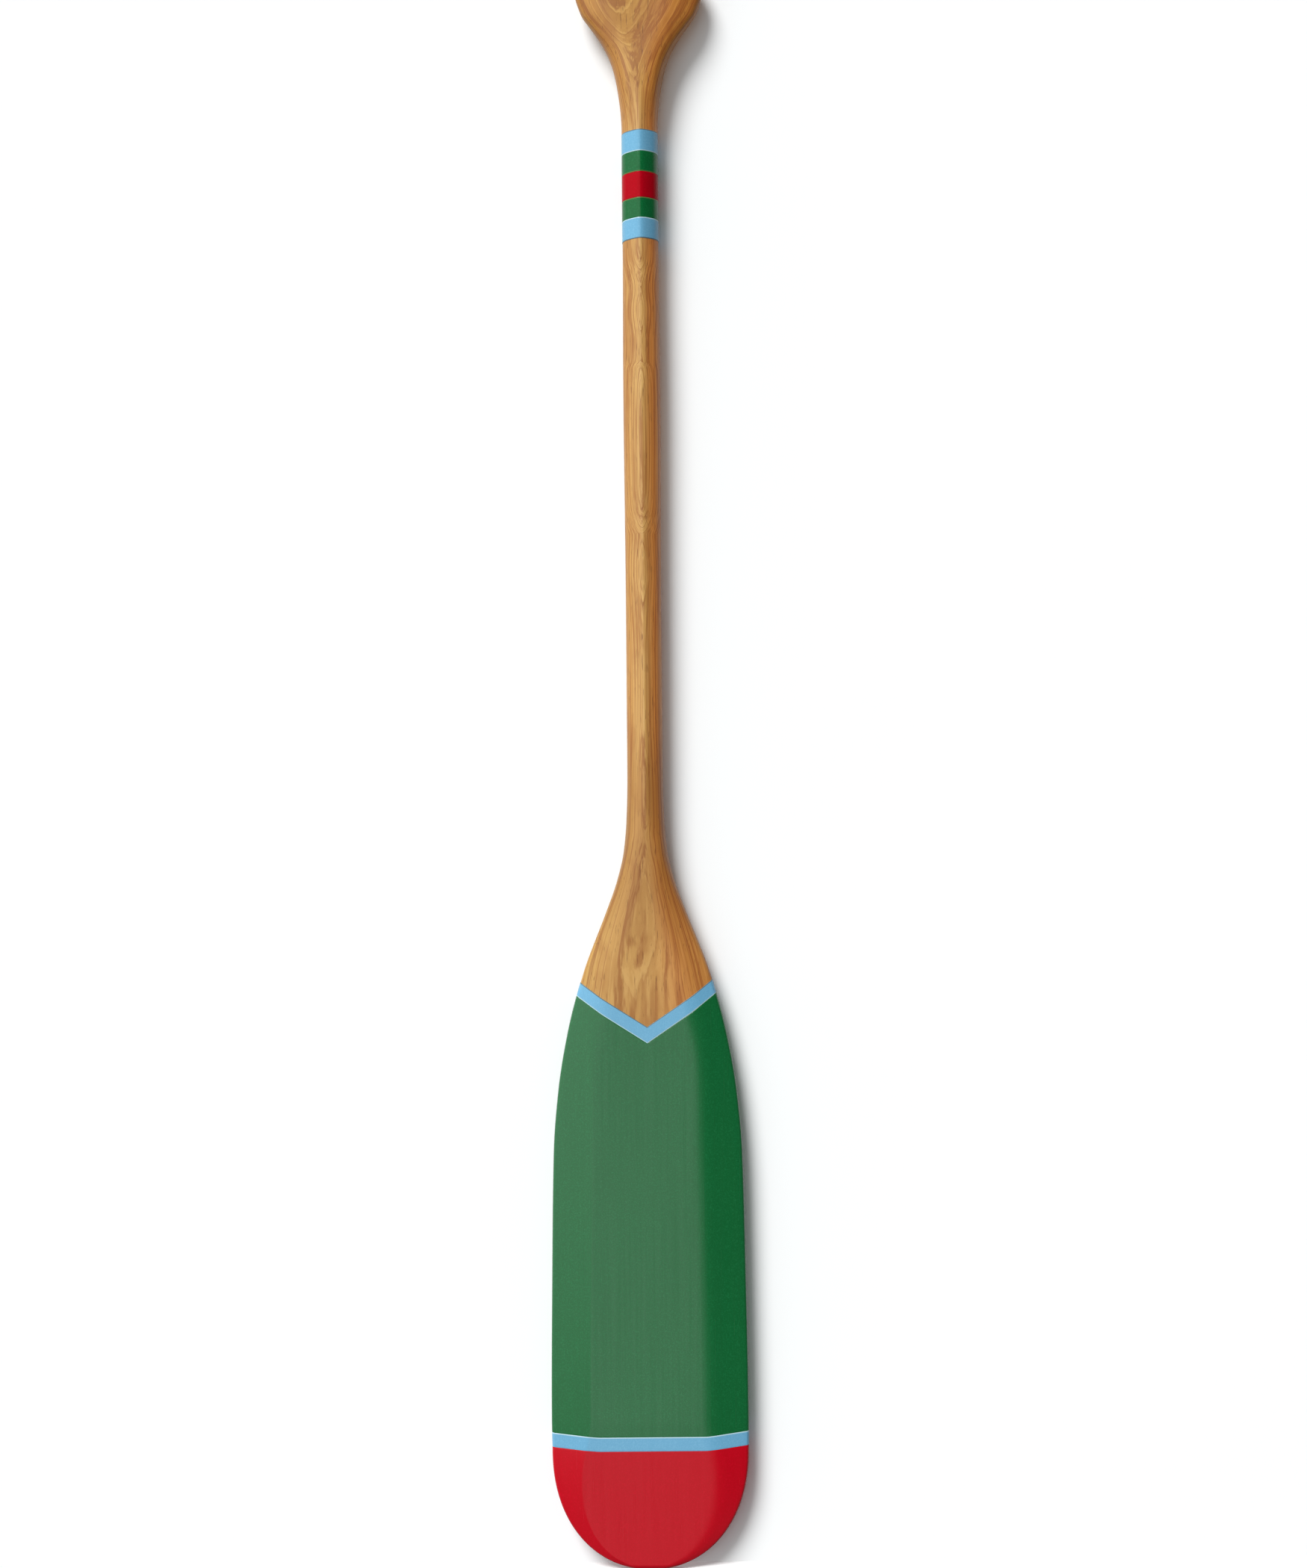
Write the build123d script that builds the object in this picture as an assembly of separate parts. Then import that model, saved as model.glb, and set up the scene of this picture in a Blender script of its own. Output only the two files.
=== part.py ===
from build123d import *
import math
import os

# One-piece cherry canoe paddle with enamel bands, standing upright on its blade tip.
# Millimetres. X runs across the blade, Y through its thickness, Z up to the grip.
# The paddle is carved from a single plank. Every band of colour is its own coat of enamel.

# ---- overall sizes ----
LENGTH = 1422.0          # blade tip to top of the grip
COAT = 0.25              # enamel thickness

# ---- side profile, half thicknesses ----
BLADE_HALF = 9.0         # flat of the blade
BLADE_FLAT_LOW = 130.0   # the flat starts here and thins below it
BLADE_FLAT_HIGH = 430.0  # the flat ends here and swells into the throat
TIP_HALF = 4.2           # thickness and nose radius at the blade tip
GRIP_HALF = 12.5         # flat of the grip
GRIP_FLAT_LOW = 1358.0
GRIP_FLAT_HIGH = 1404.0
CLEAR_HALF = 18.0        # outside the round shaft, where the profile cuts nothing

# ---- blade tip outline, a superellipse ----
TIP_RISE = 105.0
TIP_HALF_WIDTH = 86.3
TIP_POWER = 2.15
BLUNT = 0.1              # how far the outline is cut back to a small flat at the very tip

# ---- grip top outline, a superellipse ----
CROWN_BASE = 1388.0
CROWN_HALF_WIDTH = 56.2
CROWN_POWER = 2.4
CROWN_BLUNT = 0.2

# ---- round shaft ----
SHAFT_BOTTOM = 705.0     # end of the throat
SEAT_TOP = 855.0         # top of the plain cylinder a rack clamp holds
BAND_LOW = 1150.0        # start of the second plain cylinder
SHAFT_TOP = 1266.0       # start of the neck
SEAT_R = 15.6
SWELL_R = 16.3
BAND_R = 15.8

# ---- paint lines ----
BAND_EDGES = (1168.6, 1187.0, 1204.5, 1227.0, 1245.0, 1264.0)
STRIPE_LOW = 103.0
STRIPE_HIGH = 116.0
CHEVRON_TOP = 478.0      # apex of its upper edge, on the centreline
CHEVRON_BOTTOM = 463.0   # apex of its lower edge
CHEVRON_SLOPE = 0.64     # rise over run of both arms

# ---- slices ----
BEVEL = 10.5             # slope of the blade's bevels, in degrees
EDGE_R = 3.0             # radius of the blade's edge
STRAIGHT = 0.62          # share of a face that runs straight in from the edge
TURN = 0.12              # share of a face that turns over the crown
GRIP_EDGE_R = 7.5
GRIP_CROWN = 17.5
GRIP_BEVEL = 18.0

# Each slice: height, half width, edge radius, crown height, bevel angle in degrees.
BLADE_SECTIONS = (
    (105.0, 86.3, 3.0, 17.5, 10.5),
    (132.0, 86.7, 3.0, 17.6, 10.5),
    (263.0, 85.2, 3.0, 17.3, 10.5),
    (368.0, 83.0, 3.0, 17.0, 10.5),
    (421.0, 78.6, 3.1, 17.6, 12.0),
    (474.0, 69.6, 3.6, 19.5, 15.6),
    (526.0, 55.4, 5.2, 20.5, 19.0),
    (579.0, 35.1, 8.5, 18.5, 24.0),
    (605.0, 25.7, 11.0, 17.0, 30.0),
    (632.0, 19.3, 14.2, 16.0, 38.0),
    (660.0, 16.7, 15.6, 15.7, 43.0),
    (690.0, 15.7, 15.65, 15.65, 45.0),
)
GRIP_SECTIONS = (
    (1276.0, 16.2, 15.8, 15.8, 45.0),
    (1296.0, 18.3, 15.3, 15.9, 42.0),
    (1316.0, 22.0, 13.8, 16.1, 37.0),
    (1329.0, 26.2, 12.0, 16.4, 32.0),
    (1342.0, 32.7, 10.4, 16.8, 27.0),
    (1355.0, 41.5, 9.0, 17.2, 22.0),
    (1369.0, 51.0, 8.0, 17.5, 19.0),
    (1388.0, 56.2, 7.5, 17.5, 18.0),
)
TIP_STEPS = (BLUNT, 0.6, 1.6, 3.5, 7.0, 13.0, 24.0, 40.0, 60.0, 82.0)
CROWN_STEPS = (10.0, 19.0, 25.0, 29.0, 31.5, 33.0, LENGTH - CROWN_BASE)


def face_curve(start, crown, edge, bevel):
    """Half of one face, from the round edge at start to the crown on the centreline."""
    slope = math.radians(bevel)
    if start[0] < crown:
        # all but round, so both handles are those of a circle
        near = far = 4 / 3 * math.tan(slope / 4) * edge
    else:
        # a long handle at the edge keeps the bevel straight, and a short one turns the crown
        near = STRAIGHT * math.hypot(start[0], crown - start[1])
        near = min(near, (crown - start[1]) / math.sin(slope))
        far = TURN * start[0]
    lead = (start[0] - near * math.cos(slope), start[1] + near * math.sin(slope))
    return Bezier(start, lead, (far, crown), (0.0, crown))


def slice_face(height, right, front):
    """A closed slice from its right edge and the right half of its front face."""
    left_front = front.mirror(Plane.YZ)
    wire = [
        right,
        front,
        left_front,
        right.mirror(Plane.YZ),
        left_front.mirror(Plane.XZ),
        front.mirror(Plane.XZ),
    ]
    return Pos(0, 0, height) * make_face(wire)


def carved_slice(height, half_width, edge, crown, bevel):
    """One slice of the blade, throat or grip: two round edges and two crowned faces."""
    turn = math.radians(90 - bevel)
    start = (half_width - edge + edge * math.cos(turn), edge * math.sin(turn))
    right = ThreePointArc((start[0], -start[1]), (half_width, 0.0), start)
    return slice_face(height, right, face_curve(start, crown, edge, bevel))


def round_slice(height, radius):
    """The same slice where the shaft is a true circle."""
    corner = radius * math.sqrt(0.5)
    side = (radius * math.sin(math.radians(22.5)), radius * math.cos(math.radians(22.5)))
    right = ThreePointArc((corner, -corner), (radius, 0.0), (corner, corner))
    front = ThreePointArc((corner, corner), side, (0.0, radius))
    return slice_face(height, right, front)


def superellipse(share, power):
    """Half width of the rounded end at a share of its rise, from 0 at the very end to 1."""
    return (1 - (1 - share) ** power) ** (1 / power)


def side_profile(skin):
    """The plank as sawn to its side profile. The skin is how far outside the wood it lies."""
    low = COAT - skin - BLUNT
    blade = BLADE_HALF + skin
    nose = TIP_HALF + skin
    grip = GRIP_HALF + skin
    top = LENGTH + CROWN_BLUNT
    edge = [
        EllipticalCenterArc((0, low + nose), nose, nose, 270, arc_size=90),
        Line((nose, low + nose), (blade, BLADE_FLAT_LOW)),
        Line((blade, BLADE_FLAT_LOW), (blade, BLADE_FLAT_HIGH)),
        Spline(
            (blade, BLADE_FLAT_HIGH),
            (11.3 + skin, 526.0),
            (15.1 + skin, 632.0),
            (CLEAR_HALF, SHAFT_BOTTOM),
            tangents=((0, 1), (0.3, 1)),
        ),
        Line((CLEAR_HALF, SHAFT_BOTTOM), (CLEAR_HALF, SHAFT_TOP)),
        Spline(
            (CLEAR_HALF, SHAFT_TOP),
            (15.0 + skin, 1312.0),
            (grip, GRIP_FLAT_LOW),
            tangents=((-0.4, 1), (0, 1)),
        ),
        Line((grip, GRIP_FLAT_LOW), (grip, GRIP_FLAT_HIGH)),
        EllipticalCenterArc((0, GRIP_FLAT_HIGH), grip, top - GRIP_FLAT_HIGH, 0, arc_size=90),
        Line((0, top), (0, low)),
    ]
    half = Plane.YZ * make_face(edge)
    both = half + half.mirror(Plane.XZ)
    return extrude(both, amount=120, both=True)


def blade_body(skin):
    """Blade and throat, from the tip to the foot of the round shaft."""
    low = COAT - skin - BLUNT
    rise = TIP_RISE - low
    slope = math.tan(math.radians(BEVEL))
    faces = []
    for step in TIP_STEPS:
        half = (TIP_HALF_WIDTH + skin) * superellipse(step / rise, TIP_POWER)
        edge = min(EDGE_R + skin, 0.8 * half)
        # near the tip the crown stays above the side profile, which cuts it
        crown = max(edge + slope * half, TIP_HALF + 1.0 + 0.05 * step)
        faces.append(carved_slice(low + step, half, edge, crown, BEVEL))
    for height, half, edge, crown, bevel in BLADE_SECTIONS:
        grown = (half + skin, edge + skin, crown + skin)
        faces.append(carved_slice(height, *grown, bevel))
    faces.append(round_slice(SHAFT_BOTTOM, SEAT_R + skin))
    return loft(faces) & side_profile(skin)


def grip_body():
    """Neck and grip, from the top of the round shaft to the crown."""
    faces = [round_slice(SHAFT_TOP, BAND_R)]
    for height, half, edge, crown, bevel in GRIP_SECTIONS:
        faces.append(carved_slice(height, half, edge, crown, bevel))
    for step in CROWN_STEPS:
        share = 1 - step / (LENGTH + CROWN_BLUNT - CROWN_BASE)
        half = CROWN_HALF_WIDTH * superellipse(share, CROWN_POWER)
        height = CROWN_BASE + step
        faces.append(carved_slice(height, half, GRIP_EDGE_R, GRIP_CROWN, GRIP_BEVEL))
    return loft(faces) & side_profile(0)


def shaft_body():
    """The turned shaft: two plain cylinders with a slight swell between them."""
    middle = (SEAT_TOP + BAND_LOW) / 2 + 40
    edge = [
        Line((0, SHAFT_BOTTOM), (SEAT_R, SHAFT_BOTTOM)),
        Line((SEAT_R, SHAFT_BOTTOM), (SEAT_R, SEAT_TOP)),
        Spline(
            (SEAT_R, SEAT_TOP),
            (SWELL_R, middle),
            (BAND_R, BAND_LOW),
            tangents=((0, 1), (0, 1)),
        ),
        Line((BAND_R, BAND_LOW), (BAND_R, SHAFT_TOP)),
        Line((BAND_R, SHAFT_TOP), (0, SHAFT_TOP)),
        Line((0, SHAFT_TOP), (0, SHAFT_BOTTOM)),
    ]
    return revolve(Plane.XZ * make_face(edge), Axis.Z)


def save(part, name):
    part.label = name
    export_step(part, "parts/" + name + ".step")


def main():
    os.makedirs("parts", exist_ok=True)
    wood = blade_body(0) + shaft_body() + grip_body()
    save(wood, "paddle_blank")

    # enamel on the blade, as skins cut from a body one coat larger than the wood
    skin = blade_body(COAT) - wood
    arm = 110.0
    up = CHEVRON_SLOPE * arm
    v_top = [(-arm, CHEVRON_TOP + up), (0, CHEVRON_TOP), (arm, CHEVRON_TOP + up)]
    v_low = [(-arm, CHEVRON_BOTTOM + up), (0, CHEVRON_BOTTOM), (arm, CHEVRON_BOTTOM + up)]
    regions = {
        "blade_chevron_coat": v_top + v_low[::-1],
        "blade_field_coat": v_low + [(arm, STRIPE_HIGH), (-arm, STRIPE_HIGH)],
        "blade_stripe_coat": [
            (-arm, STRIPE_LOW),
            (arm, STRIPE_LOW),
            (arm, STRIPE_HIGH),
            (-arm, STRIPE_HIGH),
        ],
        "blade_tip_coat": [(-arm, -5), (arm, -5), (arm, STRIPE_LOW), (-arm, STRIPE_LOW)],
    }
    for name, points in regions.items():
        outline = make_face(Polyline(*points, close=True))
        region = extrude(Plane.XZ * outline, amount=40, both=True)
        save(skin & region, name)

    # enamel rings round the shaft, bottom to top
    names = ("lower_blue", "lower_green", "middle_red", "upper_green", "upper_blue")
    for name, low, high in zip(names, BAND_EDGES, BAND_EDGES[1:]):
        ring = Circle(BAND_R + COAT) - Circle(BAND_R)
        save(extrude(Pos(0, 0, low) * ring, amount=high - low), "band_" + name + "_coat")


main()
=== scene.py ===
import math

import bpy
import numpy as np
from mathutils import Matrix, Vector


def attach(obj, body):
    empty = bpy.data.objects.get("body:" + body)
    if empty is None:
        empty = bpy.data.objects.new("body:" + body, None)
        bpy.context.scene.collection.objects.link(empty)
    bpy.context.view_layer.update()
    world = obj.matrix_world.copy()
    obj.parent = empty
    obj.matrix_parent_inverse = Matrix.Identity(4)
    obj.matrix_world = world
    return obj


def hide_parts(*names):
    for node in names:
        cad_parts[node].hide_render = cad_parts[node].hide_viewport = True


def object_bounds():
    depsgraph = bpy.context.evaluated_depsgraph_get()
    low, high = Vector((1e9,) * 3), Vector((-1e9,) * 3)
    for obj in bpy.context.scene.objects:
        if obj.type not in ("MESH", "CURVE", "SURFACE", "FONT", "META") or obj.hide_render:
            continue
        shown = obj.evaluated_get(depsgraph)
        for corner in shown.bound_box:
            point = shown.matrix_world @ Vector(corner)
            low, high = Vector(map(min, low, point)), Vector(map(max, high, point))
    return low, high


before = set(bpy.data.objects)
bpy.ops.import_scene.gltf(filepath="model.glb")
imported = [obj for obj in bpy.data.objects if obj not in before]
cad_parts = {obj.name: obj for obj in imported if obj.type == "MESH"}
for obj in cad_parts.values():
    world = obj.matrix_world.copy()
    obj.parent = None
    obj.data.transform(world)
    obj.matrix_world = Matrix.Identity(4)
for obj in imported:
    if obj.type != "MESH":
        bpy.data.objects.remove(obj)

# A carved cherry canoe paddle with enamel bands, standing on its blade tip against a white wall.
# Shapes are worked out in millimetres, as in the CAD model, and turned into metres as meshes are made.
# X runs across the blade, Y through its thickness, with the viewed face towards -Y.

cad_low, cad_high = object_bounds()
MM = 0.001
TOP = cad_high[2] / MM

# ---- shape of the plank, in millimetres ----
COAT = 0.25              # thickness of an enamel film
SUNK = -0.12             # how far from the surface a film's underside lies, inside the wood
HAIR = 0.02              # a gap too small to see, at each end of the paddle
TIP_LOW = COAT
TIP_RISE = 105.0         # the tip's rounded outline ends at this height
TIP_HALF_WIDTH = 86.3
TIP_POWER = 2.15
CROWN_BASE = 1388.0      # the grip's rounded outline starts at this height
CROWN_HALF_WIDTH = 56.2
CROWN_POWER = 2.4
BLADE_HALF = 9.0         # half thickness of the blade's flat
TAPER_END = 130.0        # the tip is that thick from this height up
NOSE = 4.2               # radius of the tip's rounded nose
GRIP_END = 1404.0        # the grip's thickness rounds off above this height
CRISP = 0.22             # rounding of the creases on the left, as depth
SOFT = 1.5               # rounding of the creases on the right
CARVED = 3.0             # rounding of both in the throat and the grip
THROAT_START = 400.0     # the rounding grows from this height
THROAT_FULL = 490.0      # to this one

# Height, half width, edge radius, crown height, bevel angle in degrees.
SLICES = np.array((
    (TIP_RISE, TIP_HALF_WIDTH, 3.0, 17.5, 10.5),
    (132.0, 86.7, 3.0, 17.6, 10.5),
    (263.0, 85.2, 3.0, 17.3, 10.5),
    (368.0, 83.0, 3.0, 17.0, 10.5),
    (421.0, 78.6, 3.1, 17.6, 12.0),
    (474.0, 69.6, 3.6, 19.5, 15.6),
    (526.0, 55.4, 5.2, 20.5, 19.0),
    (579.0, 35.1, 8.5, 18.5, 24.0),
    (605.0, 25.7, 11.0, 17.0, 30.0),
    (632.0, 19.3, 14.2, 16.0, 38.0),
    (660.0, 16.7, 15.6, 15.7, 43.0),
    (690.0, 15.7, 15.65, 15.65, 45.0),
    (705.0, 15.6, 15.6, 15.6, 45.0),
    (855.0, 15.6, 15.6, 15.6, 45.0),
    (1042.0, 16.3, 16.3, 16.3, 45.0),
    (1150.0, 15.8, 15.8, 15.8, 45.0),
    (1266.0, 15.8, 15.8, 15.8, 45.0),
    (1276.0, 16.2, 15.8, 15.8, 45.0),
    (1296.0, 18.3, 15.3, 15.9, 42.0),
    (1316.0, 22.0, 13.8, 16.1, 37.0),
    (1329.0, 26.2, 12.0, 16.4, 32.0),
    (1342.0, 32.7, 10.4, 16.8, 27.0),
    (1355.0, 41.5, 9.0, 17.2, 22.0),
    (1369.0, 51.0, 8.0, 17.5, 19.0),
    (CROWN_BASE, CROWN_HALF_WIDTH, 7.5, 17.5, 18.0),
))
# Height and half thickness of the side profile. On the shaft it is more than the round section's,
# so that the section sets the thickness there.
THICKNESS = np.array((
    (TAPER_END, BLADE_HALF),
    (430.0, BLADE_HALF),
    (526.0, 11.3),
    (579.0, 13.2),
    (632.0, 15.1),
    (705.0, 18.0),
    (1266.0, 18.0),
    (1312.0, 15.0),
    (1358.0, 12.5),
    (GRIP_END, 12.5),
))

# ---- paint lines, in millimetres ----
STRIPE_LOW = 105.4
STRIPE_HIGH = 118.0
CHEVRON_TOP = 478.0
CHEVRON_BOTTOM = 463.6
BAND_EDGES = (1168.6, 1187.0, 1204.5, 1227.0, 1245.0, 1264.0)
BAND_R = 15.8
BAND_TILT = 1.4          # how much lower each ring is at its sides than in front
BAND_SLANT = 0.03        # and how it climbs to the right


def smooth_through(table, height):
    """Monotone cubic through a table's rows. The first column is the height."""
    z = table[:, 0]
    values = table[:, 1:]
    step = np.diff(z)[:, None]
    rate = np.diff(values, axis=0) / step
    tangent = np.zeros_like(values)
    before, after = rate[:-1], rate[1:]
    same = before * after > 0
    total = np.where(same, before + after, 1.0)
    tangent[1:-1] = np.where(same, 2 * before * after / total, 0.0)
    height = np.clip(height, z[0], z[-1])
    i = np.clip(np.searchsorted(z, height, side="right") - 1, 0, len(z) - 2)
    gap = (z[i + 1] - z[i])[..., None]
    u = (height - z[i])[..., None] / gap
    h00 = 2 * u**3 - 3 * u**2 + 1
    h10 = u**3 - 2 * u**2 + u
    h01 = 3 * u**2 - 2 * u**3
    h11 = u**3 - u**2
    return h00 * values[i] + h10 * gap * tangent[i] + h01 * values[i + 1] + h11 * gap * tangent[i + 1]


def superellipse(share, power):
    """Half width of a rounded end at a share of its rise, from 0 at the very end to 1."""
    share = np.clip(share, 0.0, 1.0)
    return (1 - (1 - share) ** power) ** (1 / power)


def slice_numbers(z, skin):
    """Half width, edge radius, crown, bevel slope and half thickness at each height, with the
    surface moved out by the skin."""
    low = TIP_LOW - skin
    top = TOP + skin
    width, edge, crown, bevel = np.moveaxis(smooth_through(SLICES, z), -1, 0)
    tip = TIP_HALF_WIDTH * superellipse((z - low) / (TIP_RISE - low), TIP_POWER)
    end = CROWN_HALF_WIDTH * superellipse((top - z) / (top - CROWN_BASE), CROWN_POWER)
    width = np.where(z < TIP_RISE, tip, np.where(z > CROWN_BASE, end, width))
    half = smooth_through(THICKNESS, z)[..., 0]
    # the tip thins to a rounded nose
    above = np.clip(z - low, 0.0, None)
    nose = np.sqrt(np.clip(NOSE**2 - np.clip(NOSE - above, 0.0, None) ** 2, 0.0, None))
    ramp = NOSE + (BLADE_HALF - NOSE) * (above - NOSE) / (TAPER_END - low - NOSE)
    half = np.where(z < TAPER_END, np.where(above < NOSE, nose, ramp), half)
    # the grip's crown is a quarter ellipse
    over = np.clip((z - GRIP_END) / (top - GRIP_END), 0.0, 1.0)
    half = half * np.sqrt(1 - over**2)
    width = width + skin
    half = half + skin
    # the round edge stays inside the slice where the ends thin out
    edge = np.minimum(edge + skin, np.minimum(0.98 * half, 0.8 * width) + 1e-4)
    slope = np.radians(bevel)
    crown = crown + skin
    crown = np.where(z < TIP_RISE, np.maximum(edge + np.tan(slope) * width, half + 1.0), crown)
    return width, edge, crown, slope, half


# A face's curve is a cubic. On the blade its inner points lie these shares of the way along.
BEVEL_REACH = 0.62
RIDGE_REACH = 0.12


def face_point(share, width, edge, crown, slope):
    """A point on half a face, before its flat is cut: share 0 at the round edge, 1 on the
    centreline. The curve is long and nearly straight over the bevels, and round on the shaft."""
    x0 = width - edge + edge * np.sin(slope)
    y0 = edge * np.cos(slope)
    crown = np.maximum(crown, y0 + 0.01)
    rounded = 4 / 3 * np.tan(slope / 4) * edge
    reach = np.minimum(BEVEL_REACH * np.hypot(x0, crown - y0), (crown - y0) / np.sin(slope))
    blend = np.clip((crown - x0) / 2.0, 0.0, 1.0)
    near = reach + (rounded - reach) * blend
    far = RIDGE_REACH * x0 + (rounded - RIDGE_REACH * x0) * blend
    a, b, c = (1 - share) ** 3, 3 * (1 - share) ** 2 * share, 3 * (1 - share) * share**2
    x = a * x0 + b * (x0 - near * np.cos(slope)) + c * far
    y = a * y0 + b * (y0 + near * np.sin(slope)) + (c + share**3) * crown
    return x, y


def crease_shares():
    """Where along the face the bevel meets the flat, for every millimetre of height."""
    z = np.arange(0.0, TOP + 1.0)
    numbers = [n[:, None] for n in slice_numbers(z, 0.0)]
    share = np.linspace(0.02, 1.0, 120)[None, :]
    y = face_point(share, *numbers[:4])[1]
    over = y > numbers[4]
    # where the face never rises to the flat's height, the crease is put by the centreline
    first = np.where(over.any(axis=1), share[0][over.argmax(axis=1)], 0.985)
    # averaged over 13 mm and kept off both ends, so that the columns of points run smoothly
    smoothed = np.convolve(np.pad(first, 6, mode="edge"), np.ones(13) / 13, mode="valid")
    return z, np.clip(smoothed, 0.12, 0.72)


CREASE_Z, CREASE_SHARE = crease_shares()

# One quarter of a ring of points, from the edge to the centreline. Whole numbers count the round
# edge, the bevel and the flat, and points crowd towards the crease between bevel and flat.
ARC_STEPS, BEVEL_STEPS, FLAT_STEPS = 7, 11, 15
CROWD = 1.6
QUARTER = ARC_STEPS + BEVEL_STEPS + FLAT_STEPS


def quarter_points(z, column, side, skin):
    """x and y of points in one quarter of a slice, for arrays of heights and columns."""
    width, edge, crown, slope, half = slice_numbers(z, skin)
    turn = np.clip(column / ARC_STEPS, 0.0, 1.0) * (math.pi / 2 - slope)
    arc_x = width - edge + edge * np.cos(turn)
    arc_y = edge * np.sin(turn)
    crease = np.interp(z, CREASE_Z, CREASE_SHARE)
    on_bevel = np.clip((column - ARC_STEPS) / BEVEL_STEPS, 0.0, 1.0)
    on_flat = np.clip((column - ARC_STEPS - BEVEL_STEPS) / FLAT_STEPS, 0.0, 1.0)
    share = crease * (1 - (1 - on_bevel) ** CROWD) + (1 - crease) * on_flat**CROWD
    face_x, face_y = face_point(share, width, edge, crown, slope)
    face = column > ARC_STEPS
    x = np.where(face, face_x, arc_x)
    y = np.where(face, face_y, arc_y)
    # the flat and the bevel meet in a small rounding, crisper on one side
    throat = np.clip((z - THROAT_START) / (THROAT_FULL - THROAT_START), 0.0, 1.0) ** 2
    rounding = np.where(side > 0, SOFT, CRISP) * (1 - throat) + CARVED * throat
    rounding = rounding * np.clip((half - 2.0) / 4.0, 0.05, 1.0)
    near = np.clip(rounding - np.abs(y - half), 0.0, None) / rounding
    y = np.minimum(y, half) - near**2 * rounding / 4
    return x, y


def ring_columns():
    """Column, side and facing of each point round a full ring, starting at the right edge."""
    column = np.arange(QUARTER + 1)
    front = np.concatenate([column, column[-2::-1]])
    side = np.concatenate([np.ones(QUARTER + 1), -np.ones(QUARTER)])
    back = front[1:-1][::-1]
    column = np.concatenate([front, back])
    side = np.concatenate([side, side[1:-1][::-1]])
    facing = np.concatenate([-np.ones(len(front)), np.ones(len(back))])
    return column.astype(float), side, facing


COLUMN, SIDE, FACING = ring_columns()
RING = len(COLUMN)


def surface(z, skin):
    """Points round the plank at heights z, an array of rows by ring columns."""
    z = np.broadcast_to(z, (z.shape[0], RING))
    x, y = quarter_points(z, COLUMN[None, :], SIDE[None, :], skin)
    return np.stack([x * SIDE, y * FACING, z], axis=-1)


# Growth rings along the middle of the viewed face: height in millimetres, how many years deep in the
# tree the face lies, and how far to the right the heart is. Rings close in long lenses where the
# depth peaks, and in nested Vs where it is steep.
RINGS = np.array((
    (0.0, 6.6, 0.0),
    (430.0, 6.7, -1.0),
    (515.0, 6.95, -2.5),
    (540.0, 7.3, -2.7),
    (575.0, 7.65, -2.7),
    (620.0, 7.3, -2.2),
    (645.0, 6.97, -1.5),
    (665.0, 7.3, -1.0),
    (690.0, 7.38, -1.0),
    (716.0, 7.0, -1.0),
    (745.0, 6.5, -1.0),
    (800.0, 6.4, -1.0),
    (849.0, 7.0, -1.5),
    (878.0, 7.62, -1.5),
    (905.0, 7.0, -1.5),
    (909.0, 6.9, -1.5),
    (915.0, 8.0, -1.5),
    (923.0, 9.0, -1.5),
    (931.0, 10.0, -1.5),
    (952.0, 10.6, -1.5),
    (990.0, 10.76, -1.5),
    (1030.0, 10.55, -1.5),
    (1055.0, 10.0, -1.5),
    (1061.0, 9.0, -1.5),
    (1080.0, 8.7, -1.0),
    (1089.0, 9.0, -1.0),
    (1106.0, 9.5, -1.0),
    (1121.0, 9.0, -1.0),
    (1125.0, 8.9, -1.0),
    (1142.0, 10.0, -1.5),
    (1151.0, 11.0, -2.0),
    (1168.0, 11.4, -2.0),
    (1264.0, 11.6, -4.0),
    (1293.0, 12.0, -5.5),
    (1337.0, 13.0, -4.0),
    (1349.0, 14.0, -5.5),
    (1368.0, 15.0, -6.0),
    (1395.0, 16.0, -6.0),
    (1422.0, 17.6, -6.0),
))
RING_GAP = 2.2
HEART_Y = -28.0          # the heart of the tree lies this far in front of the plank's middle


def fanned(points):
    """Points with each slice scaled to the shaft's size, as the fibres run out with the outline."""
    x, y, z = points[..., 0], points[..., 1], points[..., 2]
    numbers = smooth_through(SLICES, z)
    deep = np.minimum(smooth_through(THICKNESS, z)[..., 0], numbers[..., 2])
    return x / numbers[..., 0] * BAND_R, y / deep * BAND_R, z


def ring_phase(points):
    """Growth rings of the plank: which year's wood each point lies in."""
    x, y, z = fanned(points)
    year, heart_x = np.moveaxis(smooth_through(RINGS, z), -1, 0)
    depth = np.hypot(x - heart_x, y - HEART_Y) - (-BAND_R - HEART_Y)
    return year - depth / RING_GAP


def side_for_painted_shade(points):
    """From -1 at the left of each slice to 1 at its right, for the wood's painted side shade."""
    x = points[..., 0]
    return x / np.abs(x).max(axis=1, keepdims=True)


def grid_mesh(name, points, capped):
    """A smooth mesh of quads through rows of ring points, in millimetres. The first and last rows
    are capped, or else joined to each other."""
    rows, ring = points.shape[:2]
    faces = []
    for r in range(rows - 1 if capped else rows):
        a = r * ring
        b = (r + 1) % rows * ring
        for c in range(ring):
            d = (c + 1) % ring
            faces.append((a + c, b + c, b + d, a + d))
    if capped:
        faces.append(tuple(range(ring)))
        faces.append(tuple((rows - 1) * ring + c for c in range(ring))[::-1])
    mesh = bpy.data.meshes.new(name)
    mesh.from_pydata([tuple(p) for p in points.reshape(-1, 3) * MM], [], faces)
    mesh.polygons.foreach_set("use_smooth", [True] * len(faces))
    mesh.update()
    piece = bpy.data.objects.new(name, mesh)
    bpy.context.scene.collection.objects.link(piece)
    return piece


def store(piece, name, values):
    """Keeps one number per vertex for the material to read."""
    attribute = piece.data.attributes.new(name, "FLOAT", "POINT")
    attribute.data.foreach_set("value", np.asarray(values, np.float32).ravel())


def finish_piece(piece, node, slot, material):
    """Gives a piece its material, puts it under the root body and hides the CAD node that it stands for.
    The slot is not used.
    """
    piece.data.materials.append(material)
    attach(piece, "root")
    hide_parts(node)


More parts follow.
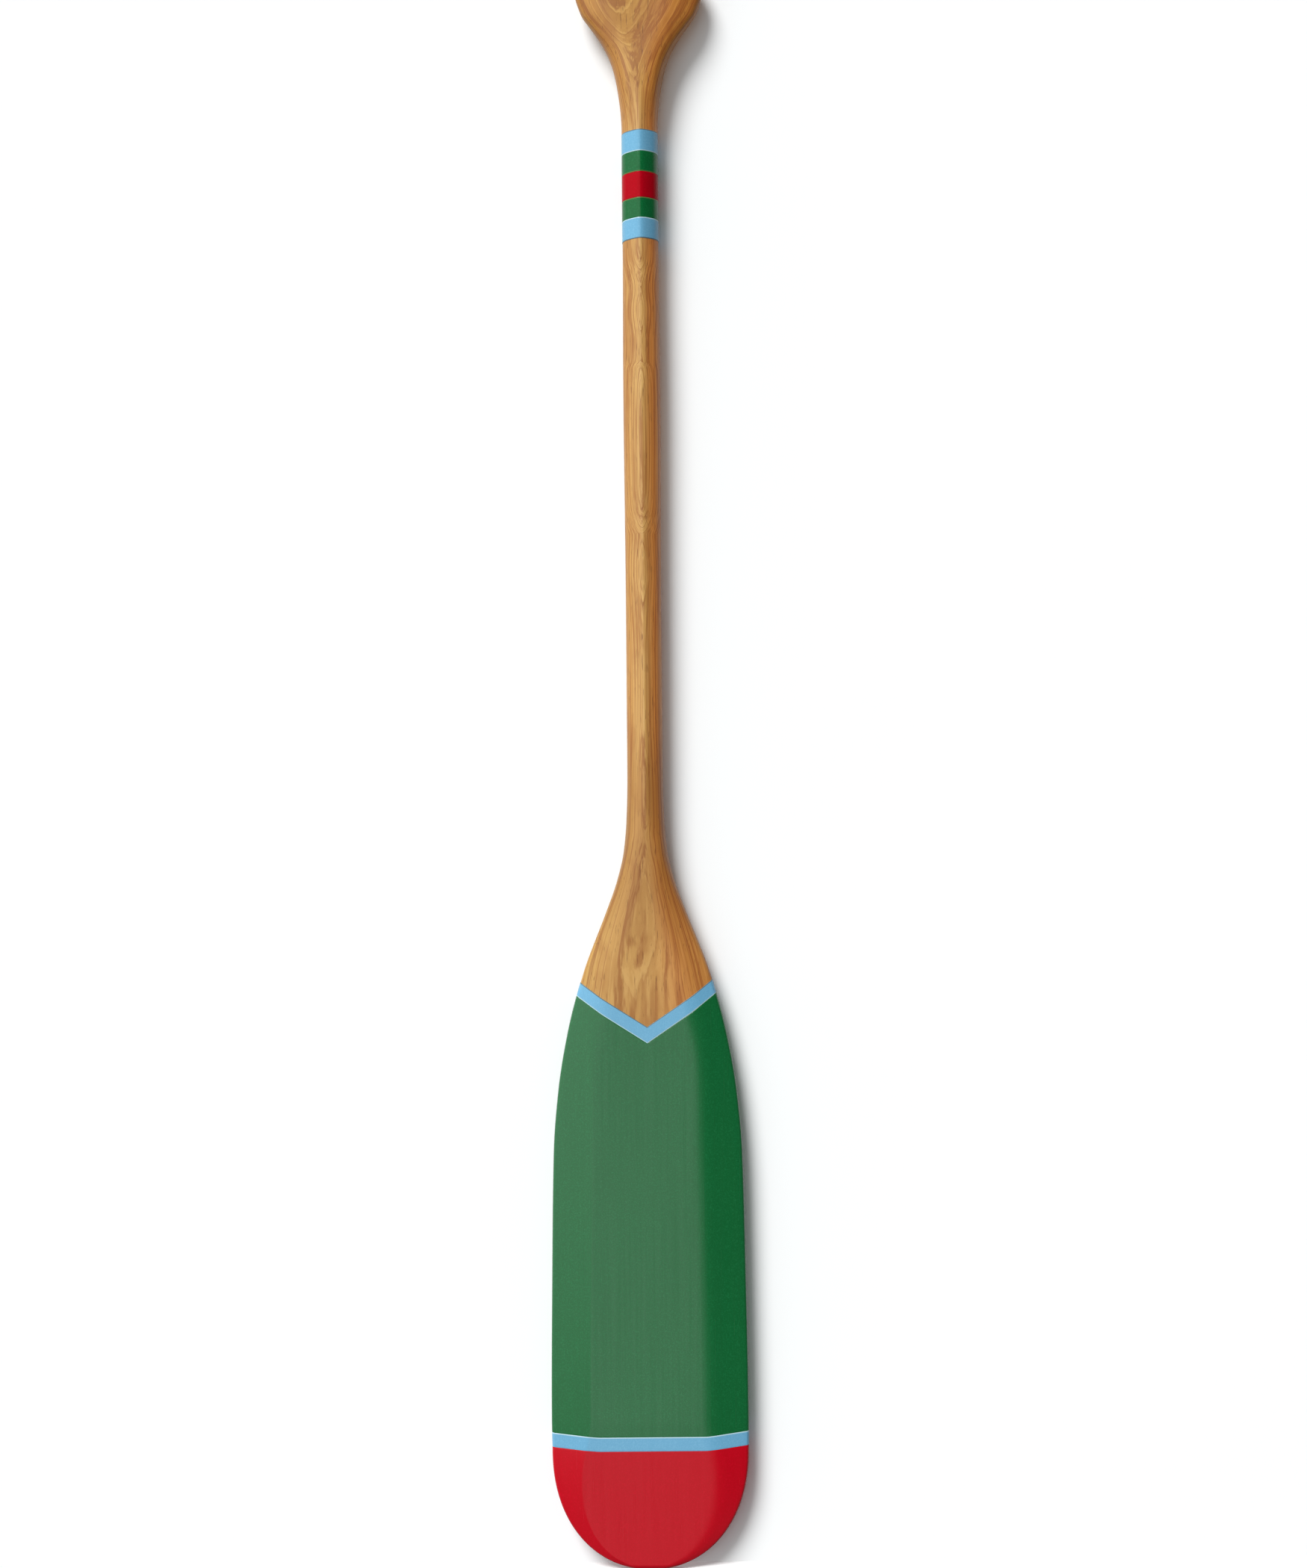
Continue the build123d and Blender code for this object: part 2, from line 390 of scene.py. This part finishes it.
# ---- node helpers ----
class Nodes:
    """The nodes of a material or world, made with short calls."""

    def __init__(self, owner, output):
        owner.use_nodes = True
        self.owner = owner
        self.tree = owner.node_tree
        self.tree.nodes.clear()
        self.out = self.new(output)

    def new(self, kind, **settings):
        node = self.tree.nodes.new("ShaderNode" + kind)
        for key, value in settings.items():
            setattr(node, key, value)
        return node

    def link(self, source, target):
        self.tree.links.new(source, target)

    def put(self, socket, value):
        """Links a socket to another node's output, or sets it to a plain value."""
        if isinstance(value, bpy.types.NodeSocket):
            self.link(value, socket)
        else:
            socket.default_value = value

    def math(self, operation, a, b=0.0):
        node = self.new("Math", operation=operation)
        self.put(node.inputs[0], a)
        self.put(node.inputs[1], b)
        return node.outputs[0]

    def product(self, a, b):
        return self.math("MULTIPLY", a, b)

    def add(self, a, b):
        return self.math("ADD", a, b)

    def attribute(self, name):
        return self.new("Attribute", attribute_name=name).outputs["Fac"]

    def place(self, scale, offset):
        """Object coordinates, scaled and shifted."""
        mapping = self.new("Mapping")
        mapping.inputs["Scale"].default_value = scale
        mapping.inputs["Location"].default_value = offset
        self.link(self.new("TexCoord").outputs["Object"], mapping.inputs["Vector"])
        return mapping.outputs[0]

    def height(self):
        """How high up the plank, in metres."""
        at = self.new("SeparateXYZ")
        self.link(self.new("TexCoord").outputs["Object"], at.inputs[0])
        return at.outputs["Z"]

    def noise_at(self, vector, detail, rough):
        node = self.new("TexNoise")
        node.inputs["Scale"].default_value = 1.0
        node.inputs["Detail"].default_value = detail
        node.inputs["Roughness"].default_value = rough
        self.link(vector, node.inputs["Vector"])
        return node.outputs["Fac"]

    def noise(self, scale, detail=2.0, rough=0.5, offset=(0.0, 0.0, 0.0)):
        """Noise from 0 to 1 with its own scale along each axis, per metre."""
        return self.noise_at(self.place(scale, offset), detail, rough)

    def fibre(self, across, along, up, shift=0.0):
        """Noise that changes from ring to ring, a little along each ring, and slowly up the plank."""
        vector = self.new("CombineXYZ")
        ring = self.product(self.attribute("ring"), across)
        self.link(self.add(ring, shift), vector.inputs["X"])
        self.link(self.product(self.attribute("fan"), along), vector.inputs["Y"])
        self.link(self.product(self.height(), up), vector.inputs["Z"])
        return self.noise_at(vector.outputs[0], 3, 0.62)

    def span(self, value, low, high, to_low=0.0, to_high=1.0, smooth=True):
        """A value's range from low to high, mapped onto another range."""
        node = self.new("MapRange", interpolation_type="SMOOTHSTEP" if smooth else "LINEAR")
        self.put(node.inputs["Value"], value)
        node.inputs["From Min"].default_value = low
        node.inputs["From Max"].default_value = high
        node.inputs["To Min"].default_value = to_low
        node.inputs["To Max"].default_value = to_high
        return node.outputs["Result"]

    def ramp(self, value, stops):
        """A curve of straight stretches through stops of place and level."""
        node = self.new("ValToRGB")
        elements = node.color_ramp.elements
        while len(elements) < len(stops):
            elements.new(0.5)
        for element, (place, level) in zip(elements, stops):
            element.position = place
            element.color = (level, level, level, 1.0)
        self.link(value, node.inputs["Fac"])
        return node.outputs["Color"]

    def mix(self, factor, a, b, blend="MIX"):
        """Two colours mixed. A Mix node's colours are its sockets 6 and 7, and its output 2."""
        node = self.new("Mix", data_type="RGBA", blend_type=blend)
        self.put(node.inputs[0], factor)
        for socket, value in ((node.inputs[6], a), (node.inputs[7], b)):
            self.put(socket, (*value, 1.0) if isinstance(value, tuple) else value)
        return node.outputs[2]

    def tint(self, factor, colour, cast):
        """A colour multiplied by a cast, as far as the factor says."""
        return self.mix(factor, colour, cast, "MULTIPLY")

    def bump(self, height, distance, strength, normal=None):
        node = self.new("Bump")
        node.inputs["Strength"].default_value = strength
        node.inputs["Distance"].default_value = distance
        self.link(height, node.inputs["Height"])
        if normal is not None:
            self.link(normal, node.inputs["Normal"])
        return node.outputs["Normal"]

    def principled(self, colour, roughness, normal, **sockets):
        """The finished surface, with any other sockets named with _ for each space."""
        node = self.new("BsdfPrincipled")
        self.link(colour, node.inputs["Base Color"])
        self.link(roughness, node.inputs["Roughness"])
        self.link(normal, node.inputs["Normal"])
        for key, value in sockets.items():
            node.inputs[key.replace("_", " ")].default_value = value
        self.link(node.outputs[0], self.out.inputs["Surface"])
        return self.owner


def new_material(name):
    return Nodes(bpy.data.materials.new(name), "OutputMaterial")


# ---- cherry ----
PALE_YEAR = (0.590, 0.345, 0.106)
BROWN_YEAR = (0.480, 0.228, 0.052)
LATE_WOOD = (0.300, 0.108, 0.022)
EARLY_WOOD = (0.68, 0.425, 0.148)
DARK_FIBRE = (0.330, 0.120, 0.026)
PALE_FIBRE = (0.67, 0.41, 0.140)
MOTTLE = (0.38, 0.155, 0.036)
PORE = (0.15, 0.050, 0.012)
# How dark the late wood is through a year: it builds up slowly, and stops short at the next spring.
LATE_STOPS = ((0.0, 0.85), (0.05, 0.0), (0.70, 0.08), (0.87, 0.35), (0.95, 1.0), (1.0, 0.9))
# Painted shade that tints the wood where it turns to the sides, the right redder and darker; and tints over
# the throat, neck and grip.
LEFT_PAINTED_SHADE = (0.95, 0.84, 0.68)
LEFT_THROAT_PAINTED_SHADE = (0.93, 0.95, 0.83)
RIGHT_PAINTED_SHADE = (1.20, 0.80, 0.54)
RIGHT_CARVED_PAINTED_SHADE = (0.98, 0.76, 0.60)
THROAT_CAST = (0.95, 0.90, 0.84)
NECK_CAST = (0.80, 0.73, 0.65)
GRIP_CAST = (0.87, 0.76, 0.52)


def wood_masks(s):
    """Where the throat, the neck above it and the grip are, by height in metres."""
    height = s.height()
    throat = s.span(height, 0.62, 0.76, 1.0, 0.0)
    neck = s.product(s.span(height, 0.53, 0.61), s.span(height, 0.68, 0.76, 1.0, 0.0))
    grip = s.span(height, 1.26, 1.31)
    return throat, neck, grip


def sway(s, phase, noise, amount):
    """The rings pushed to and fro by a noise, in years."""
    return s.add(phase, s.product(s.math("SUBTRACT", noise, 0.5), amount))


def year_colour(s, phase, throat, grip, carved):
    """Each year's own tone, with its dark late wood and pale early wood."""
    year = s.new("TexWhiteNoise", noise_dimensions="1D")
    s.link(s.math("FLOOR", phase), year.inputs["W"])
    chance = year.outputs["Value"]
    within = s.math("FRACT", phase)
    # the figure is softer where the wood is carved, in the throat above all
    brown = s.product(s.span(chance, 0.0, 1.0, 0.0, 0.45, smooth=False), s.span(throat, 0.0, 1.0, 1.0, 0.5))
    colour = s.mix(brown, PALE_YEAR, BROWN_YEAR)
    late = s.product(s.ramp(within, LATE_STOPS), s.span(chance, 0.0, 1.0, 0.45, 1.0, smooth=False))
    late = s.product(late, s.span(carved, 0.0, 1.0, 1.0, 0.45))
    late = s.product(late, s.span(throat, 0.0, 1.0, 1.0, 0.55))
    colour = s.mix(late, colour, LATE_WOOD)
    early = s.product(s.span(within, 0.06, 0.20, 0.45, 0.0), s.add(grip, 1.0))
    return s.mix(early, colour, EARLY_WOOD)


def cherry():
    """Oiled cherry: growth rings, fibre, pores, mottle, and painted shade that makes the wood redder and
    darker at its sides, the right most.
    """
    s = new_material("oiled_cherry")
    throat, neck, grip = wood_masks(s)
    carved = s.add(throat, grip)
    phase = sway(s, s.attribute("ring"), s.noise((24, 24, 3), 3), 0.6)
    phase = sway(s, phase, s.noise((120, 120, 12), offset=(3, 1, 0)), 0.5)
    phase = sway(s, phase, s.noise((34, 34, 9), offset=(1, 5, 3)), s.product(throat, 1.8))
    colour = year_colour(s, phase, throat, grip, carved)
    # streaks of fibre, coarse and fine, that follow the rings
    coarse = s.fibre(1.3, 170, 4)
    colour = s.mix(s.span(coarse, 0.47, 0.59, 0.0, 0.68), colour, DARK_FIBRE)
    fine = s.fibre(3.6, 480, 7, shift=40.0)
    colour = s.mix(s.span(fine, 0.50, 0.63, 0.0, 0.6), colour, PALE_FIBRE)
    # brown mottle and short dark pores
    mottle = s.noise((42, 42, 15), 3, 0.6, (7, 0, 2))
    colour = s.mix(s.span(mottle, 0.50, 0.66, 0.0, 0.4), colour, MOTTLE)
    pore = s.span(s.noise((1150, 1150, 70)), 0.62, 0.71, 0.0, 0.55)
    colour = s.mix(pore, colour, PORE)
    # painted shade: the sides are tinted redder and darker by which way they face the light, the right more
    # so
    cast = s.attribute("cast")
    painted_shade_left = s.span(cast, -1.0, -0.35, 1.0, 0.0)
    painted_shade_right = s.span(cast, 0.0, 0.6)
    colour = s.tint(painted_shade_left, colour, s.mix(throat, LEFT_PAINTED_SHADE, LEFT_THROAT_PAINTED_SHADE))
    colour = s.tint(painted_shade_right, colour, s.mix(carved, RIGHT_PAINTED_SHADE, RIGHT_CARVED_PAINTED_SHADE))
    colour = s.tint(throat, colour, THROAT_CAST)
    colour = s.tint(neck, colour, NECK_CAST)
    colour = s.tint(grip, colour, GRIP_CAST)
    roughness = s.span(coarse, 0.3, 0.7, 0.36, 0.46, smooth=False)
    grain = s.math("SUBTRACT", s.product(fine, 0.5), pore)
    return s.principled(colour, roughness, s.bump(grain, 0.00012, 0.6), IOR=1.5)


# ---- enamel ----
# Each colour: body, darker streaks, paler specks, and the thin paler line painted as a highlight along its
# raised edge where it meets the next film.
TONES = {
    "green": ((0.003, 0.136, 0.034), (0.001, 0.106, 0.024), (0.010, 0.170, 0.052), (0.13, 0.17, 0.04)),
    "blue": ((0.165, 0.435, 0.645), (0.138, 0.390, 0.600), (0.20, 0.48, 0.68), (0.46, 0.66, 0.72)),
    "red": ((0.480, 0.001, 0.010), (0.430, 0.001, 0.008), (0.53, 0.003, 0.018), (0.26, 0.07, 0.015)),
}
PAINTED_SHADE_LINE = (0.09, 0.075, 0.03)       # the dark line painted as shade along a film's edge where it meets bare wood
SLOTS = {"green": "green_enamel", "blue": "light_blue_enamel", "red": "red_enamel"}
# Depth of colour and specular level of each. The rings are rubbed duller than the blade.
BLADE_FINISH = {"green": (1.0, 0.72), "blue": (0.98, 0.50), "red": (1.10, 0.30)}
RING_FINISH = {"green": (1.0, 0.36), "blue": (0.98, 0.42), "red": (0.90, 0.08)}


def enamel(name, tones, depth, specular):
    """Brushed enamel: brush streaks, orange peel, fine speckle, and thin lines where films meet, painted as
    a highlight or as shade.
    """
    s = new_material(name)
    body, dark, pale = (tuple(depth * part for part in tone) for tone in tones[:3])
    line = tones[3]
    streak = s.noise((420, 420, 6), 3, 0.6)
    cloud = s.noise((18, 18, 9))
    speckle = s.noise((780, 780, 780), 2, 0.7)
    colour = s.mix(s.span(streak, 0.4, 0.72, 0.0, 0.3), body, dark)
    colour = s.mix(s.span(cloud, 0.35, 0.75, 0.0, 0.3), colour, dark)
    colour = s.mix(s.span(speckle, 0.40, 0.62, 0.7, 0.0), colour, dark)
    colour = s.mix(s.span(speckle, 0.55, 0.75, 0.0, 0.6), colour, pale)
    rim = s.attribute("rim")
    # painted highlight: a paler line along the film's raised edge
    colour = s.mix(s.span(rim, 0.05, 0.5, 0.0, 0.9), colour, line)
    # painted shade: a dark line along an edge that meets the bare wood
    colour = s.mix(s.span(rim, -0.5, -0.05, 0.7, 0.0), colour, PAINTED_SHADE_LINE)
    roughness = s.span(streak, 0.3, 0.7, 0.20, 0.28, smooth=False)
    peel = s.bump(s.noise((260, 260, 180)), 0.00008, 0.35)
    normal = s.bump(streak, 0.00006, 0.4, peel)
    return s.principled(colour, roughness, normal, IOR=1.5, Specular_IOR_Level=specular)


def paints(part, finishes):
    """The slot and the material of each colour, for one part of the paddle."""
    return {
        colour: (slot, enamel(part + "_" + slot, TONES[colour], *finishes[colour]))
        for colour, slot in SLOTS.items()
    }


# ---- the carved blank ----
TIP_ROWS = 31
BODY_STEP = 3.0          # between rows along the body, in millimetres
CROWN_ROWS = 25


def carved_blank():
    """The whole plank, with rows of points closer together towards both ends."""
    tip = 1 - np.cos(np.radians(np.linspace(0, 90, TIP_ROWS)))
    crown = np.sin(np.radians(np.linspace(0, 90, CROWN_ROWS)))
    heights = np.concatenate([
        TIP_LOW + HAIR + (TIP_RISE - TIP_LOW) * tip,
        np.arange(TIP_RISE + 4.0, CROWN_BASE - 2.0, BODY_STEP),
        CROWN_BASE + (TOP - HAIR - CROWN_BASE) * crown,
    ])
    points = surface(heights[:, None], 0.0)
    blank = grid_mesh("carved_blank", points, capped=True)
    store(blank, "ring", ring_phase(points))
    store(blank, "fan", fanned(points)[0] * MM)
    # painted shade: the side each point lies on, which the wood's material tints as shade
    store(blank, "cast", side_for_painted_shade(points))
    finish_piece(blank, "paddle_blank", "cherry", cherry())


carved_blank()


# ---- taped lines: each gives the height of a paint line at x and y ----
SETTLE_ROUNDS = 25


def past(x, start):
    """How far x lies beyond a start."""
    return np.clip(x - start, 0.0, None)


def stripe_line(height):
    """A line that rises a little where it runs off over the bevels."""
    def line(x, y):
        return height + past(-x, 45.0) * 0.080 + past(x, 50.0) * 0.098
    return line


def chevron_line(height):
    """A V whose arms steepen slightly towards the edges."""
    def line(x, y):
        left = past(-x, 0.0) * 0.640 + past(-x, 40.0) * 0.085
        right = past(x, 0.0) * 0.680 + past(x, 40.0) * 0.09
        return height + left + right
    return line


def band_line(height):
    """A ring that sits a touch lower at its sides and behind than in front."""
    def line(x, y):
        return height - BAND_TILT * (1 + y / (BAND_R + COAT)) + BAND_SLANT * x
    return line


def settle(line):
    """The height at which a line crosses each ring column. Each round looks up the column's x and
    y at the last height, and it comes to rest well within the rounds that it gets."""
    z = np.full((1, RING), float(line(0.0, -BAND_R - COAT)))
    for _ in range(SETTLE_ROUNDS):
        points = surface(z, COAT)
        z = line(points[..., 0], points[..., 1])
    return z


# ---- enamel coats ----
# How the film rolls over at its edge: distance in from the line, and its thickness there.
ROLL = ((0.0, SUNK), (0.0, 0.02), (0.05, 0.13), (0.14, 0.20), (0.35, 0.24))
EDGE = 1.2               # the film is at its full thickness this far in
SHORT = 0.1              # the tip's rows stop this much before that


def rolled_edge(line, inward, mark):
    """Rows of points up a film's edge. Inward is 1 at a lower line and -1 at an upper one."""
    return [(line + inward * inset, skin, mark * (1.0 - inset / EDGE)) for inset, skin in ROLL]


def coat_piece(name, node, paint, low, high, steps, rims):
    """A closed film of enamel between two lines, or over the tip where low is None.
    The two rims say what shows along each line: 1 a pale painted highlight, -1 a dark painted shade line, 0
    neither."""
    over_tip = low is None
    top = settle(high)
    if over_tip:
        bottom = np.full((1, RING), HAIR)
        reach = top - EDGE - SHORT - bottom
        shares = 1 - np.cos(np.radians(np.linspace(0, 90, steps)))
        middle = [bottom + share * reach for share in shares]
        inside = [np.maximum(row, TIP_LOW - SUNK + HAIR) for row in middle]
        lower_edge = []
    else:
        bottom = settle(low)
        reach = top - bottom - 2 * EDGE
        middle = [bottom + EDGE + share * reach for share in np.linspace(0, 1, steps)]
        inside = middle
        lower_edge = rolled_edge(bottom, 1, rims[0])
    # each row's height, thickness and rim mark, up the outside and back down the inside
    rows = lower_edge + [(row, COAT, 0.0) for row in middle]
    rows += rolled_edge(top, -1, rims[1])[::-1]
    rows += [(row, SUNK, 0.0) for row in inside[::-1]]
    points = np.concatenate([surface(height, skin) for height, skin, _ in rows])
    piece = grid_mesh(name, points, capped=over_tip)
    store(piece, "rim", np.repeat([mark for _, _, mark in rows], RING))
    finish_piece(piece, node, *paint)


def blade_coats():
    """Red tip, blue stripe, green field and blue chevron."""
    paint = paints("blade", BLADE_FINISH)
    low, high = stripe_line(STRIPE_LOW), stripe_line(STRIPE_HIGH)
    v_low, v_high = chevron_line(CHEVRON_BOTTOM), chevron_line(CHEVRON_TOP)
    coat_piece("tip_enamel", "blade_tip_coat", paint["red"], None, low, 36, (0, 0))
    coat_piece("stripe_enamel", "blade_stripe_coat", paint["blue"], low, high, 6, (0, 1))
    coat_piece("field_enamel", "blade_field_coat", paint["green"], high, v_low, 110, (0, 0))
    coat_piece("chevron_enamel", "blade_chevron_coat", paint["blue"], v_low, v_high, 8, (1, -1))


# Rings round the shaft, bottom to top, and which of a painted highlight and a painted shade line shows
# along their two lines.
BANDS = (
    ("lower_blue", (-1, 1)),
    ("lower_green", (0, 1)),
    ("middle_red", (0, 0)),
    ("upper_green", (1, 0)),
    ("upper_blue", (1, -1)),
)


def shaft_rings():
    """Five rings of enamel that touch each other."""
    paint = paints("ring", RING_FINISH)
    for (band, rims), low, high in zip(BANDS, BAND_EDGES, BAND_EDGES[1:]):
        name = "band_" + band
        colour = band.split("_")[1]
        lines = band_line(low), band_line(high)
        coat_piece(name + "_enamel", name + "_coat", paint[colour], *lines, 6, rims)


blade_coats()
shaft_rings()

# ---- stage ----
WALL_Y = 0.0185
WALL_SIDE = 2.0
WALL_TOP = 2.6
WALL_COLOUR = (0.966, 0.985, 0.988)
FLOOR_SIDE = 3.0
FLOOR_DEPTH = 4.0
FLOOR_COLOUR = (0.985, 0.985, 0.985)


def stage_plane(name, corners, colour):
    """A plain pale sheet with a faint unevenness, seen only from its front."""
    mesh = bpy.data.meshes.new(name)
    mesh.from_pydata(corners, [], [(0, 1, 2, 3)])
    sheet = bpy.data.objects.new(name, mesh)
    bpy.context.scene.collection.objects.link(sheet)
    s = new_material(name + "_paint")
    front = s.new("BsdfDiffuse")
    s.link(s.mix(s.noise((3, 3, 3)), colour, tuple(0.985 * v for v in colour)), front.inputs["Color"])
    choose = s.new("MixShader")
    s.link(s.new("NewGeometry").outputs["Backfacing"], choose.inputs["Fac"])
    s.link(front.outputs[0], choose.inputs[1])
    s.link(s.new("BsdfTransparent").outputs[0], choose.inputs[2])
    s.link(choose.outputs[0], s.out.inputs["Surface"])
    mesh.materials.append(s.owner)
    sheet.visible_diffuse = False
    return sheet


wall = stage_plane("wall", [
    (-WALL_SIDE, WALL_Y, 0),
    (WALL_SIDE, WALL_Y, 0),
    (WALL_SIDE, WALL_Y, WALL_TOP),
    (-WALL_SIDE, WALL_Y, WALL_TOP),
], WALL_COLOUR)
wall.visible_shadow = False
floor = stage_plane("floor", [
    (-FLOOR_SIDE, -FLOOR_DEPTH, 0),
    (FLOOR_SIDE, -FLOOR_DEPTH, 0),
    (FLOOR_SIDE, FLOOR_DEPTH, 0),
    (-FLOOR_SIDE, FLOOR_DEPTH, 0),
], FLOOR_COLOUR)
floor.visible_glossy = False

# ---- light ----
KEY_AZIMUTH = math.radians(-33.0)
KEY_HEIGHT = math.radians(46.0)
key_data = bpy.data.lights.new("key", "SUN")
key_data.energy = 3.5
key_data.angle = math.radians(26.0)
key = bpy.data.objects.new("key", key_data)
key_from = Vector((
    math.cos(KEY_HEIGHT) * math.sin(KEY_AZIMUTH),
    -math.cos(KEY_HEIGHT) * math.cos(KEY_AZIMUTH),
    math.sin(KEY_HEIGHT),
))
key.rotation_euler = key_from.to_track_quat("Z", "Y").to_euler()
bpy.context.scene.collection.objects.link(key)

# Brightness of the parts of the room, and of the plain white that the camera sees beyond the stage.
REFLECTOR = 1.4
ROOM = 0.28
DIM = 0.08
BACK = 0.65
WHITE = 1.3


def studio():
    """A dim room with one long pale reflector at the front left, a dark panel right of it, and a
    bright back. Azimuth is 0 straight in front and grows to the right."""
    world = bpy.data.worlds.new("studio")
    s = Nodes(world, "OutputWorld")
    way = s.new("SeparateXYZ")
    s.link(s.new("TexCoord").outputs["Generated"], way.inputs[0])
    x, y, z = way.outputs
    azimuth = s.math("DEGREES", s.math("ARCTAN2", x, s.product(y, -1.0)))
    height = s.math("DEGREES", s.math("ARCSINE", z))
    # both panels lie in one band, which reaches less far down on the left
    raised = s.add(height, s.span(azimuth, -17, -9, 0, 13))
    band = s.product(s.span(height, 22, 30, 1.0, 0.0), s.span(raised, -17, -9))
    left_end = s.span(azimuth, -95, -75)
    right_end = s.span(azimuth, 2, 8, 1.0, 0.0)
    panel = s.product(s.product(left_end, right_end), band)
    shade = s.product(s.span(azimuth, 2, 8), band)
    behind = s.span(y, -0.05, 0.15)
    light = s.add(s.product(panel, REFLECTOR - ROOM), ROOM)
    light = s.add(light, s.product(shade, DIM - ROOM))
    light = s.add(light, s.product(behind, BACK - ROOM))
    strength = s.new("Mix", data_type="FLOAT")
    s.link(s.new("LightPath").outputs["Is Camera Ray"], strength.inputs[0])
    s.link(light, strength.inputs[2])
    strength.inputs[3].default_value = WHITE
    sky = s.new("Background")
    s.link(strength.outputs[0], sky.inputs["Strength"])
    s.link(sky.outputs[0], s.out.inputs["Surface"])
    bpy.context.scene.world = world


studio()
bpy.context.scene.view_settings.view_transform = "Standard"

# ---- camera, level and straight in front, and rolled so that the paddle leans a little ----
CAMERA_AT = (0.0074, -2.125, 0.691)
CAMERA_ROLL = math.radians(0.49)
camera_data = bpy.data.cameras.new("camera")
camera_data.sensor_fit = "VERTICAL"
camera_data.sensor_height = 36.0
camera_data.lens = 55.4
camera = bpy.data.objects.new("camera", camera_data)
right = Vector((math.cos(CAMERA_ROLL), 0.0, -math.sin(CAMERA_ROLL)))
up = Vector((math.sin(CAMERA_ROLL), 0.0, math.cos(CAMERA_ROLL)))
back = Vector((0.0, -1.0, 0.0))
turn = Matrix((right, up, back)).transposed().to_4x4()
camera.matrix_world = Matrix.Translation(CAMERA_AT) @ turn
bpy.context.scene.collection.objects.link(camera)
bpy.context.scene.camera = camera

bpy.context.view_layer.update()
